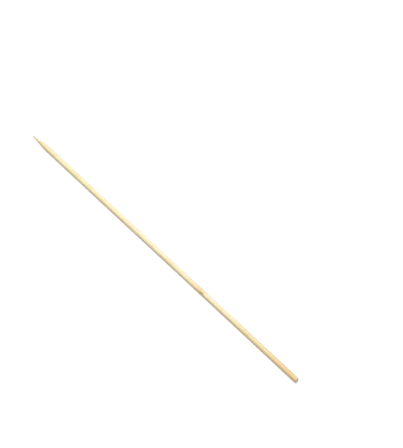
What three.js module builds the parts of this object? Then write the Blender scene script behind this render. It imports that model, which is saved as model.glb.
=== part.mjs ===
// A bamboo skewer: one rod of bamboo, drawn round through a cutting die, sanded to a point
// at one end and sawn off square at the other. It lies on a flat surface as it comes to rest.
//
// Millimetres. X runs along the skewer from the point to the butt, Z is up, the surface is
// z = 0, and the origin is under the middle of the skewer.

import * as THREE from 'three';

// Driving dimensions of the rod
const LENGTH = 250; // tip to butt face
const DIAMETER = 3.5; // of the shank

// The sanded point
const POINT_LENGTH = 14; // tip to the middle of the shoulder
const TIP_DIAMETER = 0.45; // across the small dome that sanding leaves
const SHOULDER_SOFTENING = 1.6; // length each side of the shoulder over which it is rounded

// The sawn butt
const BUTT_EDGE = 0.2; // edge rounded off when the skewers are tumbled

// How finely the surface is divided
const SIDES = 24; // flats that stand for the round section
const CURVE_STEPS = 4; // sections in each rounded stretch

// A profile point: its place along the rod and its distance from the axis.
function profilePoint(alongRod, radius) {
  return new THREE.Vector2(radius, alongRod);
}

// Radius of the sanded cone at a place along it: straight from the tip to the shoulder.
function coneRadius(alongRod) {
  return THREE.MathUtils.mapLinear(alongRod, 0, POINT_LENGTH, TIP_DIAMETER / 2, DIAMETER / 2);
}

// The tip is a small dome that runs into the cone.
function tipProfile() {
  const dome = new THREE.QuadraticBezierCurve(
    profilePoint(0, 0),
    profilePoint(0, coneRadius(0)),
    profilePoint(TIP_DIAMETER, coneRadius(TIP_DIAMETER)),
  );
  return dome.getPoints(CURVE_STEPS);
}

// The cone meets the shank in a shoulder that tumbling has softened.
function shoulderProfile() {
  const start = POINT_LENGTH - SHOULDER_SOFTENING;
  const softened = new THREE.QuadraticBezierCurve(
    profilePoint(start, coneRadius(start)),
    profilePoint(POINT_LENGTH, DIAMETER / 2),
    profilePoint(POINT_LENGTH + SHOULDER_SOFTENING, DIAMETER / 2),
  );
  return softened.getPoints(CURVE_STEPS);
}

// The saw leaves a flat end, and tumbling breaks its edge.
function buttProfile() {
  const edge = new THREE.QuadraticBezierCurve(
    profilePoint(LENGTH - BUTT_EDGE, DIAMETER / 2),
    profilePoint(LENGTH, DIAMETER / 2),
    profilePoint(LENGTH, DIAMETER / 2 - BUTT_EDGE),
  );
  return [...edge.getPoints(CURVE_STEPS), profilePoint(LENGTH, 0)];
}

// The outline from the axis at the tip to the axis at the butt, turned about the axis. The
// plain shank needs no sections between the shoulder and the butt.
function turnedRod() {
  const outline = [
    ...tipProfile(),
    ...shoulderProfile(),
    ...buttProfile(),
  ];
  return new THREE.LatheGeometry(outline, SIDES);
}

const bamboo = new THREE.MeshStandardMaterial({
  color: 0xf1dfb4,
  roughness: 0.62,
  metalness: 0,
});

const skewer = new THREE.Mesh(turnedRod(), bamboo);
skewer.name = 'skewer';

// The rod is laid along X with its middle over the origin and its shank on the surface.
skewer.rotation.z = -Math.PI / 2;
skewer.position.set(-LENGTH / 2, 0, DIAMETER / 2);

const model = new THREE.Group();
model.add(skewer);

export default model;
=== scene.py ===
from math import cos, pi, radians, sin

import bpy
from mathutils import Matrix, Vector


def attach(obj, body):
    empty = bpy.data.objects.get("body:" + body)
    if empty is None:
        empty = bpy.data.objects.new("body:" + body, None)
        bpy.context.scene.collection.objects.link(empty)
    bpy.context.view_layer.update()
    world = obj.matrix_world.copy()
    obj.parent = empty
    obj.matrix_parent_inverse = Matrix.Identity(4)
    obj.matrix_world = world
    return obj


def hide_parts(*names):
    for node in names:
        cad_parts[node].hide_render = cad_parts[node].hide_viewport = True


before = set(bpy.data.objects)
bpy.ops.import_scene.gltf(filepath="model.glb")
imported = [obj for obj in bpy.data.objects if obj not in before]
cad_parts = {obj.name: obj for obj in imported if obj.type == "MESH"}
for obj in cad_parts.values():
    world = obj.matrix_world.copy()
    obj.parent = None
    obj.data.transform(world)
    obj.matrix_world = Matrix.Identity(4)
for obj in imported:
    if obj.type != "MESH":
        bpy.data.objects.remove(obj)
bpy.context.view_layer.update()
scene = bpy.context.scene


# The rod. One length of bamboo, drawn round through a cutting die, so that its fibres run from
# end to end. One end is ground to a point on a sanding drum and the other is sawn off square,
# and a tumble with many more takes the edge off both.

class Wire:
    """The output socket of a node. Arithmetic on wires adds Math nodes to their tree."""

    def __init__(self, tree, socket):
        self.tree, self.socket = tree, socket

    def output(self, name):
        found = [s for s in self.socket.node.outputs if s.enabled and s.name == name]
        return Wire(self.tree, found[0])

    def math(self, operation, *operands):
        return self.tree.node("ShaderNodeMath", {"operation": operation}, dict(enumerate(operands)))

    def __add__(self, other):
        return self.math("ADD", self, other)

    def __radd__(self, other):
        return self.math("ADD", other, self)

    def __sub__(self, other):
        return self.math("SUBTRACT", self, other)

    def __rsub__(self, other):
        return self.math("SUBTRACT", other, self)

    def __mul__(self, other):
        return self.math("MULTIPLY", self, other)

    def __rmul__(self, other):
        return self.math("MULTIPLY", other, self)

    def __truediv__(self, other):
        return self.math("DIVIDE", self, other)

    def __rtruediv__(self, other):
        return self.math("DIVIDE", other, self)

    def __neg__(self):
        return self.math("MULTIPLY", self, -1.0)

    def __pow__(self, power):
        return self.math("POWER", self, power)

    def least(self, other):
        return self.math("MINIMUM", self, other)

    def most(self, other):
        return self.math("MAXIMUM", self, other)

    def clamped(self):
        return self.most(0.0).least(1.0)

    def soft_least(self, other, softening):
        return self.math("SMOOTH_MIN", self, other, softening)

    def above(self, limit):
        return self.math("GREATER_THAN", self, limit)

    def floor(self):
        return self.math("FLOOR", self)

    def sine(self):
        return self.math("SINE", self)

    def cosine(self):
        return self.math("COSINE", self)

    def angle_from(self, other):
        return self.math("ARCTAN2", self, other)

    def bell(self):
        """1 where the wire is 0, and almost nothing from 2 on, on either side."""
        return self.math("EXPONENT", -(self * self))


class Tree:
    """A geometry or material tree that nodes are added to."""

    def __init__(self, tree):
        self.nodes, self.links = tree.nodes, tree.links

    def node(self, kind, settings=None, sockets=None):
        """Adds a node, sets what it does, then fills its sockets, and gives its first output."""
        node = self.nodes.new(kind)
        for name, value in (settings or {}).items():
            setattr(node, name, value)
        for key, value in (sockets or {}).items():
            if isinstance(key, str):
                socket = [s for s in node.inputs if s.enabled and s.name == key][0]
            else:
                socket = node.inputs[key]
            if isinstance(value, Wire):
                self.links.new(value.socket, socket)
            else:
                socket.default_value = value
        live = [s for s in node.outputs if s.enabled]
        return Wire(self, live[0]) if live else node

    def vector(self, x, y, z):
        return self.node("ShaderNodeCombineXYZ", {}, {0: x, 1: y, 2: z})

    def parts(self, vector):
        """The X of a vector, whose other parts are its outputs Y and Z."""
        return self.node("ShaderNodeSeparateXYZ", {}, {0: vector})

    def rise(self, value, start, end):
        """0 before start and 1 after end, with a smooth turn at both."""
        settings = {"interpolation_type": "SMOOTHSTEP"}
        return self.node("ShaderNodeMapRange", settings, {0: value, 1: start, 2: end})

    def noise(self, place, scale, detail=2.0, roughness=0.5):
        """A noise from -1 to 1, with most of it near 0."""
        sockets = {"Vector": place, "Scale": scale, "Detail": detail, "Roughness": roughness}
        return self.node("ShaderNodeTexNoise", {}, sockets) * 2.0 - 1.0

    def strewn(self, place, scale):
        """How far a place in a plane is from the nearest of the points strewn over it."""
        settings = {"voronoi_dimensions": "2D"}
        return self.node("ShaderNodeTexVoronoi", settings, {"Vector": place, "Scale": scale})


# The rod's sizes in metres, with places measured from the tip. A relief is the most that a kind
# of unevenness adds or takes away, and the scar lies to one side of the top by its turn.
ROD_SIZES = {
    "Length": 0.250,
    "Diameter": 0.0035,
    "Point length": 0.014,
    "Tip width": 0.00045,
    "Shoulder softening": 0.00018,
    "Butt edge": 0.0002,
    "Bow": 0.000032,
    "Swerve": -0.000042,
    "Node place": 0.1625,
    "Node half length": 0.0042,
    "Node rise": 0.00005,
    "Node kinks": 0.00002,
    "Scar place": 0.1635,
    "Scar turn": radians(39.0),
    "Scar half length": 0.0019,
    "Scar half width": 0.00038,
    "Scar depth": 0.00007,
    "Fibre relief": 0.000026,
    "Milling relief": 0.000024,
    "Grinding relief": 0.000018,
    "Saw relief": 0.000022,
    "Nick depth": 0.00007,
    "Tumbling loss": 0.000012,
}

# Where the rod's sections lie, each with how many there are up to it: the domed tip, the cone,
# the shoulder, the shank with its node, and the broken edge of the butt. The sawn face takes
# the rest.
ROD_STATIONS = [
    (0.0, 0),
    (0.0006, 12),
    (0.0180, 150),
    (0.1510, 460),
    (0.1730, 630),
    (0.2495, 850),
    (0.2500, 868),
]
FACE_ROWS = 24
ROD_SIDES = 96

rod_tree = bpy.data.node_groups.new("Bamboo rod", "GeometryNodeTree")
rod_tree.interface.new_socket("Geometry", in_out="OUTPUT", socket_type="NodeSocketGeometry")
for name in ROD_SIZES:
    rod_tree.interface.new_socket(name, in_out="INPUT", socket_type="NodeSocketFloat")
rod_tree.interface.new_socket("Finish", in_out="INPUT", socket_type="NodeSocketMaterial")
shape = Tree(rod_tree)
inputs = shape.node("NodeGroupInput")
size = {name: inputs.output(name) for name in ROD_SIZES}
length = size["Length"]
radius = size["Diameter"] / 2.0
point = size["Point length"]
tip = size["Tip width"]
butt_edge = size["Butt edge"]

# A sheet of rows along the rod and columns round it, which is rolled up below.
last_row = ROD_STATIONS[-1][1]
rows = last_row + FACE_ROWS
sheet_size = {"Size X": 1.0, "Size Y": 1.0, "Vertices X": rows + 1, "Vertices Y": ROD_SIDES + 1}
sheet = shape.node("GeometryNodeMeshGrid", {}, sheet_size)
on_sheet = shape.parts(shape.node("GeometryNodeInputPosition"))
row = (on_sheet + 0.5) * rows
turn = on_sheet.output("Y") + 0.5

along = None
for (start, first), (end, last) in zip(ROD_STATIONS, ROD_STATIONS[1:]):
    step = shape.node("ShaderNodeMapRange", {}, {0: row, 1: first, 2: last, 3: 0.0, 4: end - start})
    along = step if along is None else along + step
inward = ((row - last_row) / FACE_ROWS).clamped()

# The turned outline: the cone runs into the shank in a soft shoulder, the tip is a dome, and
# the butt has a rounded edge.
cone = tip / 2.0 + (radius - tip / 2.0) * along / point
outline = cone.soft_least(radius, size["Shoulder softening"])
dome = (along / tip).clamped()
outline = outline * (1.0 - (1.0 - dome) * (1.0 - dome)) ** 0.5
edge = ((along - (length - butt_edge)) / butt_edge).clamped()
outline = outline - butt_edge * (1.0 - (1.0 - edge * edge).most(0.0) ** 0.5)

angle = turn * (2 * pi)
side = angle.cosine()
up = angle.sine()


def on_skin(stretch):
    """A place on the skin for a pattern, which a small stretch draws out along the rod."""
    return shape.vector(along * stretch, side * radius, up * radius)


# Relief. Bundles of fibre stand proud along the rod, the die leaves it a little out of round,
# the drum leaves rings on the cone, and the node swells on its upper side.
on_cone = 1.0 - shape.rise(along, point - 0.0006, point + 0.0008)
past_tip = shape.rise(along, 0.0008, 0.003)
fibres = shape.noise(on_skin(0.03), scale=2300.0, roughness=0.6) * size["Fibre relief"]
milling = shape.noise(on_skin(0.06), scale=420.0, detail=1.0) * size["Milling relief"]
ring_place = shape.vector(along, side * 0.0004, up * 0.0004)
rings = shape.noise(ring_place, scale=2600.0, roughness=0.6) * size["Grinding relief"]
relief = fibres * (1.0 - 0.6 * on_cone) + milling * past_tip + rings * on_cone * past_tip

at_node = ((along - size["Node place"]) / size["Node half length"]).bell()
at_node = at_node * shape.rise(up, -0.9, 0.4)
kinks = shape.noise(on_skin(1.0), scale=900.0) * size["Node kinks"]
swelling = at_node * (size["Node rise"] + kinks)

# The node's scar: a shallow slit along the fibres, left of the top as seen from the butt.
scar_along = (along - size["Scar place"]) / size["Scar half length"]
scar_across = (angle - (size["Scar turn"] + pi / 2)) * radius / size["Scar half width"]
ragged = shape.noise(on_skin(0.5), scale=2400.0) * 0.5
scar = 1.0 - shape.rise(scar_along * scar_along + scar_across * scar_across + ragged, 0.25, 1.0)

# Tumbling takes a little off all over, and knocks nicks into the edge of the butt.
nicks = shape.rise(shape.noise(on_skin(0.0), scale=1500.0, detail=1.0), 0.25, 0.7)
wear = nicks * size["Nick depth"] * shape.rise(along, length - 0.0006, length - 0.00005)
outline = outline + (relief - size["Tumbling loss"]) * dome + swelling
outline = outline - scar * size["Scar depth"] - wear
reach = outline * (1.0 - inward)

# The sawn face: strokes of the blade, with the hard fibre bundles left a little proud.
stroke_place = shape.vector(side * reach * 0.12 + up * reach, side * reach * 0.05, 0.0)
strokes = shape.noise(stroke_place, scale=3200.0)
bundles = shape.strewn(shape.vector(side * reach, up * reach, 0.0), scale=1900.0)
proud = 1.0 - shape.rise(bundles, 0.15, 0.42)
on_face = shape.rise(inward, 0.0, 0.08)
sawn = (strokes * 0.55 + proud * 0.5 - 0.6) * size["Saw relief"] * on_face

# Rolled up and laid along X with a slight warp, and nowhere below the table.
bow = (along / length * pi).sine() * size["Bow"]
swerve = (along / length * (2 * pi)).sine() * size["Swerve"]
rolled = shape.vector(
    along - length / 2.0 + sawn,
    side * reach + bow + swerve,
    (up * reach + radius).most(0.0),
)

# The skin's own map for finishes, a square of 60 mm: the skin in five strips of 50 mm side by
# side, and next to them the sawn face at twice their scale.
SKIN_SQUARE = 0.060
STRIP_LENGTH = 0.050
STRIP_WIDTH = 0.0111
STRIP_PITCH = 0.0118
SKIN_MARGINS = (0.0008, 0.0006)
FACE_MIDDLE = (0.056, 0.0045)
FACE_SCALE = 2.0
ROUNDING_ROOM = 1.00001
along_middle = shape.node("GeometryNodeFieldOnDomain", {"domain": "FACE"}, {0: along})
strip = (along_middle / (STRIP_LENGTH * ROUNDING_ROOM)).floor()
skin_u = (along - strip * STRIP_LENGTH + SKIN_MARGINS[0]) / SKIN_SQUARE
skin_v = (turn * STRIP_WIDTH + strip * STRIP_PITCH + SKIN_MARGINS[1]) / SKIN_SQUARE
face_reach = radius * (1.0 - inward) * FACE_SCALE
face_u = (side * face_reach + FACE_MIDDLE[0]) / SKIN_SQUARE
face_v = (up * face_reach + FACE_MIDDLE[1]) / SKIN_SQUARE
inward_middle = shape.node("GeometryNodeFieldOnDomain", {"domain": "FACE"}, {0: inward})
sawn_part = inward_middle.above(0.001)
map_u = skin_u + (face_u - skin_u) * sawn_part
map_v = skin_v + (face_v - skin_v) * sawn_part
mapped = shape.node(
    "GeometryNodeStoreNamedAttribute",
    {"data_type": "FLOAT2", "domain": "CORNER"},
    {"Geometry": sheet, "Name": "OFBake", "Value": shape.vector(map_u, map_v, 0.0)},
)

# The seam along the rod and the poles at the tip and on the sawn face are closed by merging.
SEAM_REACH = 0.0000002
placed = shape.node("GeometryNodeSetPosition", {}, {"Geometry": mapped, "Position": rolled})
merging = {"Geometry": placed, "Distance": SEAM_REACH}
closed = shape.node("GeometryNodeMergeByDistance", {}, merging)
outward = shape.node("GeometryNodeFlipFaces", {}, {"Mesh": closed})
smooth = shape.node("GeometryNodeSetShadeSmooth", {}, {"Geometry": outward, "Shade Smooth": True})
real = shape.node("GeometryNodeRealizeInstances", {}, {"Geometry": smooth})
finishing = {"Geometry": real, "Material": inputs.output("Finish")}
finished = shape.node("GeometryNodeSetMaterial", {}, finishing)
shape.node("NodeGroupOutput", {}, {0: finished})

# Dry, unvarnished bamboo: pale pith between harder, tanner bundles of fibre that run along the
# rod and show as dots on the sawn end. Warmer towards the butt, and brown at the node's scar.
PALE_PITH = (0.920, 0.846, 0.590, 1.0)
STRAW_PITH = (0.880, 0.742, 0.370, 1.0)
TOASTED = (0.840, 0.550, 0.255, 1.0)
SANDED = (0.930, 0.880, 0.730, 1.0)
FIBRE = (0.700, 0.490, 0.230, 1.0)
END_FIBRE = (0.430, 0.260, 0.110, 1.0)
VESSEL = (0.260, 0.145, 0.060, 1.0)
SCAR = (0.150, 0.070, 0.028, 1.0)

bamboo = bpy.data.materials.new("Dry bamboo")
bamboo.use_nodes = True
bamboo.node_tree.nodes.clear()
skin = Tree(bamboo.node_tree)
x = skin.parts(skin.node("ShaderNodeTexCoord").output("Object"))
y = x.output("Y")
z = x.output("Z") - ROD_SIZES["Diameter"] / 2
from_tip = x + ROD_SIZES["Length"] / 2


def tint(amount, under, over):
    """Lays one colour over another, from none of it at 0 to nothing else at 1."""
    sockets = {"Factor": amount.clamped(), "A": under, "B": over}
    return skin.node("ShaderNodeMix", {"data_type": "RGBA"}, sockets)


# The grain leaves the rod's line by half a degree and wanders, most of all at the node.
WARM_PLACE = 0.1606
WARM_HALF_LENGTH = 0.0060
warm_node = ((from_tip - WARM_PLACE) / WARM_HALF_LENGTH).bell()
wander = skin.noise(skin.vector(x, 0.0, 0.0), scale=22.0) * 0.0003
kink = skin.noise(skin.vector(x, y, z), scale=700.0) * warm_node * 0.00026
grain_y = y + x * 0.008 + wander + kink
grain_z = z - x * 0.005 + wander * 0.6 + kink * 0.7


def along_grain(stretch):
    """A place for a pattern that follows the fibres, which a small stretch draws out."""
    return skin.vector(x * stretch, grain_y, grain_z)


# Bundles of fibre, each with a vessel for its core: few and coarse towards the inside of the
# cane, many and fine towards its rind.
lobes = skin.noise(along_grain(0.02), scale=5200.0, detail=1.0) * 0.11
grain = skin.vector(grain_y, grain_z, 0.0)
coarse = skin.strewn(grain, scale=1650.0) + lobes
close = skin.strewn(grain, scale=3100.0) + lobes * 1.3
rind_side = skin.rise(grain_y * 0.5 + grain_z * 0.85, -0.0005, 0.0013)
sparse_bundles = 1.0 - skin.rise(coarse, 0.22, 0.40)
dense_bundles = 1.0 - skin.rise(close, 0.26, 0.52)
bundle = sparse_bundles + (dense_bundles - sparse_bundles) * rind_side
sparse_cores = 1.0 - skin.rise(coarse, 0.06, 0.13)
dense_cores = 1.0 - skin.rise(close, 0.07, 0.16)
core = sparse_cores + (dense_cores * 0.7 - sparse_cores) * rind_side

# Finer lines along the grain, and unevenness that takes no notice of it.
threads = skin.noise(along_grain(0.012), scale=6500.0, detail=3.0, roughness=0.65)
streaks = skin.noise(along_grain(0.02), scale=1300.0, roughness=0.6)
hair = skin.noise(along_grain(0.03), scale=11000.0, roughness=0.7)
hairlines = skin.rise(hair, 0.16, 0.42)
breaks = skin.rise(skin.noise(along_grain(0.22), scale=2400.0, detail=1.0), -0.15, 0.25)
blotches = skin.noise(skin.vector(x, y * 3.0, z * 3.0), scale=55.0)
patches = skin.noise(skin.vector(x, y, z), scale=330.0, detail=3.0, roughness=0.6)
mottling = skin.noise(skin.vector(x * 0.25, y, z), scale=5200.0, roughness=0.6)

# The pith's colour along the rod: yellower at both ends, toasted towards the butt, at the
# node and a little behind the point, and freshly sanded at the tip.
near_tip = 1.0 - skin.rise(from_tip, 0.040, 0.085)
near_butt = skin.rise(from_tip, 0.170, 0.215)
straw = 0.20 + near_tip * 0.30 + near_butt * 0.38
straw = straw + streaks * 0.5 + blotches * 0.2 + patches * 0.5
toast = 0.03 + skin.rise(from_tip, 0.180, 0.264) * 0.66 + warm_node * 0.42
toast = toast + (1.0 - skin.rise(from_tip, 0.022, 0.038)) * 0.20
toast = toast + blotches * 0.06 + patches * 0.42
fresh = (1.0 - skin.rise(from_tip, 0.001, 0.013)) * 0.7
pith = tint(fresh, tint(toast, tint(straw, PALE_PITH, STRAW_PITH), TOASTED), SANDED)

# Fibres and vessels, which show as lines along the rod and as dots on the sawn face.
end_face = skin.rise(from_tip, 0.24984, 0.24990)
on_point = 1.0 - skin.rise(from_tip, 0.0132, 0.0146)
lines = (bundle * 0.34 + threads * 0.20 + hairlines * 0.14).clamped() * (1.0 - fresh * 0.4)
fibrous = tint(bundle * 0.75 * end_face, tint(lines, pith, FIBRE), END_FIBRE)
vessels = core * (breaks * 0.42 * (1.0 - end_face) + 0.75 * end_face) * (1.0 - 0.4 * on_point)
lined = tint(vessels, fibrous, VESSEL)

# The scar on the node, with a brown stain round it. It is drawn a little wider than its slit.
SCAR_HALF_WIDTH = 0.00040
scar_x = (from_tip - ROD_SIZES["Scar place"]) / ROD_SIZES["Scar half length"]
off_scar = (-y).angle_from(z) - ROD_SIZES["Scar turn"]
scar_y = off_scar * (ROD_SIZES["Diameter"] / 2) / SCAR_HALF_WIDTH
scar_place = skin.vector(from_tip * 0.5, y, z)
scar_edge = skin.noise(scar_place, scale=2400.0, detail=3.0, roughness=0.6) * 0.6
scar_reach = scar_x * scar_x + scar_y * scar_y + scar_edge
scar_core = 1.0 - skin.rise(scar_reach, 0.10, 1.0)
scar_stain = 1.0 - skin.rise(scar_reach, 0.6, 4.0)
scarred = tint(scar_core * (0.78 + threads * 0.6), tint(scar_stain * 0.45, lined, FIBRE), SCAR)

# A faint crooked line goes round the rod where the wall of the node stood.
NODE_LINE_PLACE = 0.1618
NODE_LINE_HALF_WIDTH = 0.00028
crook = skin.noise(skin.vector(y, z, 0.0), scale=620.0) * 0.0011
node_line = ((from_tip - NODE_LINE_PLACE + crook) / NODE_LINE_HALF_WIDTH).bell()
crossed = tint(node_line * (0.14 + threads * 0.5), scarred, END_FIBRE)

# Painted shade and saw scorch darken the rim; the face holds dust from the tumbling.
stroke_lines = skin.vector(0.0, y * 0.15 + z, y * 0.05)
saw_marks = skin.noise(stroke_lines, scale=6000.0, roughness=0.6) * end_face
from_axis = (y * y + z * z) ** 0.5
rim = skin.rise(from_axis, 0.00152, 0.00170) * skin.rise(from_tip, 0.24945, 0.24985)
# Part of the rim's darkening is painted shade along the butt's edge.
scorch_dust_and_painted_shade = rim * (0.62 + patches * 0.5) + end_face * (0.13 + saw_marks * 0.16)
scorched_dusty_and_shaded = tint(scorch_dust_and_painted_shade, crossed, END_FIBRE)

# The fibres are smoother than the pith, and the sanded point and the sawn face are rougher.
BUMP_DEPTH = 0.00003
roughness = 0.60 - bundle * 0.12 + threads * 0.06 + mottling * 0.05
roughness = roughness + on_point * 0.10 + end_face * 0.25
drum_place = skin.vector(x, y * 0.10, z * 0.10)
drum_marks = skin.noise(drum_place, scale=7500.0, roughness=0.6) * on_point
height = threads * 0.8 + streaks * 0.5 + bundle * 0.5 + mottling * 0.3
height = height - vessels * 1.2 - hairlines * 0.8 - scar_core * 1.5
height = height + drum_marks * 2.2 + saw_marks * 1.8
bump = {"Strength": 0.5, "Distance": BUMP_DEPTH, "Height": height}
surface = {
    "Base Color": scorched_dusty_and_shaded,
    "Roughness": roughness.clamped(),
    "Normal": skin.node("ShaderNodeBump", {}, bump),
    "IOR": 1.45,
}
shader = skin.node("ShaderNodeBsdfPrincipled", {}, surface)
skin.node("ShaderNodeOutputMaterial", {}, {"Surface": shader})

# The tree's result becomes a plain mesh, the one piece that stands for the CAD solid.
rod_maker = bpy.data.objects.new("rod_maker", bpy.data.meshes.new("rod_maker"))
scene.collection.objects.link(rod_maker)
rolling = rod_maker.modifiers.new("Rod", "NODES")
rolling.node_group = rod_tree
for socket in rod_tree.interface.items_tree:
    if socket.in_out == "INPUT":
        rolling[socket.identifier] = ROD_SIZES.get(socket.name, bamboo)
bpy.context.view_layer.update()
made = rod_maker.evaluated_get(bpy.context.evaluated_depsgraph_get())
rod_mesh = bpy.data.meshes.new_from_object(made)
rod_maker.modifiers.remove(rolling)
bpy.data.objects.remove(rod_maker)
bamboo_rod = bpy.data.objects.new("bamboo_rod", rod_mesh)
scene.collection.objects.link(bamboo_rod)
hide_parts("skewer")
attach(bamboo_rod, "root")


# The table: a plain pale sheet that the skewer lies on. It shows white to the camera and keeps
# the skewer's shadow. Of the light that falls on it, it gives back about half, a little warm,
# and far out it glows to stay white where the lamp doesn't reach.
TABLE_HALF = 3.0
WARM_BOUNCE = (0.50, 0.44, 0.35, 1.0)
WHITE = (1.0, 1.0, 1.0, 1.0)


def shown(tree):
    """1 for what shows to the camera, in a gloss or through glass too, and 0 for other light."""
    ray = tree.node("ShaderNodeLightPath")
    plain = ray.output("Is Camera Ray")
    return (plain + ray.output("Is Glossy Ray") + ray.output("Is Transmission Ray")).clamped()


table_mesh = bpy.data.meshes.new("table_sheet")
corners = [(a * TABLE_HALF, b * TABLE_HALF, 0.0) for a, b in ((-1, -1), (1, -1), (1, 1), (-1, 1))]
table_mesh.from_pydata(corners, [], [(0, 1, 2, 3)])
table_sheet = bpy.data.objects.new("table_sheet", table_mesh)
scene.collection.objects.link(table_sheet)
table_paper = bpy.data.materials.new("White paper")
table_paper.use_nodes = True
table_paper.node_tree.nodes.clear()
paper = Tree(table_paper.node_tree)
bounce = paper.node("ShaderNodeBsdfDiffuse", {}, {"Color": WARM_BOUNCE})
lit = paper.node("ShaderNodeBsdfDiffuse", {}, {"Color": WHITE})
spot = paper.parts(paper.node("ShaderNodeTexCoord").output("Object"))
from_middle = (spot * spot + spot.output("Y") * spot.output("Y")) ** 0.5
glow = 0.08 + paper.rise(from_middle, 0.20, 0.50) * 0.92
glowing = paper.node("ShaderNodeEmission", {}, {"Color": glow, "Strength": 1.0})
white_paper = paper.node("ShaderNodeAddShader", {}, {0: lit, 1: glowing})
seen_paper = paper.node("ShaderNodeMixShader", {}, {0: shown(paper), 1: bounce, 2: white_paper})
paper.node("ShaderNodeOutputMaterial", {}, {"Surface": seen_paper})
table_mesh.materials.append(table_paper)


# Studio light. An even white room, and one broad soft lamp high up towards the photograph's
# upper right, where the skewer's lit side is.
ROOM_LIGHT = 0.45
room = bpy.data.worlds.new("Studio")
scene.world = room
room.use_nodes = True
room.node_tree.nodes.clear()
studio = Tree(room.node_tree)
ambient = studio.node("ShaderNodeBackground", {}, {"Color": WHITE, "Strength": ROOM_LIGHT})
backdrop = studio.node("ShaderNodeBackground", {}, {"Color": WHITE, "Strength": 1.0})
seen_room = studio.node("ShaderNodeMixShader", {}, {0: shown(studio), 1: ambient, 2: backdrop})
studio.node("ShaderNodeOutputWorld", {}, {"Surface": seen_room})

lamp_light = bpy.data.lights.new("softbox", "AREA")
lamp_light.shape = "DISK"
lamp_light.size = 0.5
lamp_light.energy = 11.2
softbox = bpy.data.objects.new("softbox", lamp_light)
scene.collection.objects.link(softbox)
softbox.location = (-0.30, 0.30, 1.15)
softbox.rotation_euler = (-softbox.location).to_track_quat("-Z", "Y").to_euler()


# The camera. It looks down steeply, as the photograph does, from as far off as the weak
# perspective there says, and its aim puts the skewer where the photograph has it.
CAMERA_AZIMUTH = radians(43.502)
CAMERA_ELEVATION = radians(75.0)
CAMERA_DISTANCE = 0.9
AIM = Vector((0.00491, 0.03456, 0.0))
level = cos(CAMERA_ELEVATION)
away = Vector((sin(CAMERA_AZIMUTH) * level, -cos(CAMERA_AZIMUTH) * level, sin(CAMERA_ELEVATION)))
lens = bpy.data.cameras.new("camera")
lens.lens = 105.38
lens.sensor_width = 36.0
camera = bpy.data.objects.new("camera", lens)
scene.collection.objects.link(camera)
camera.location = AIM + away * CAMERA_DISTANCE
camera.rotation_euler = (-away).to_track_quat("-Z", "Y").to_euler()
scene.camera = camera

scene.view_settings.view_transform = "Standard"
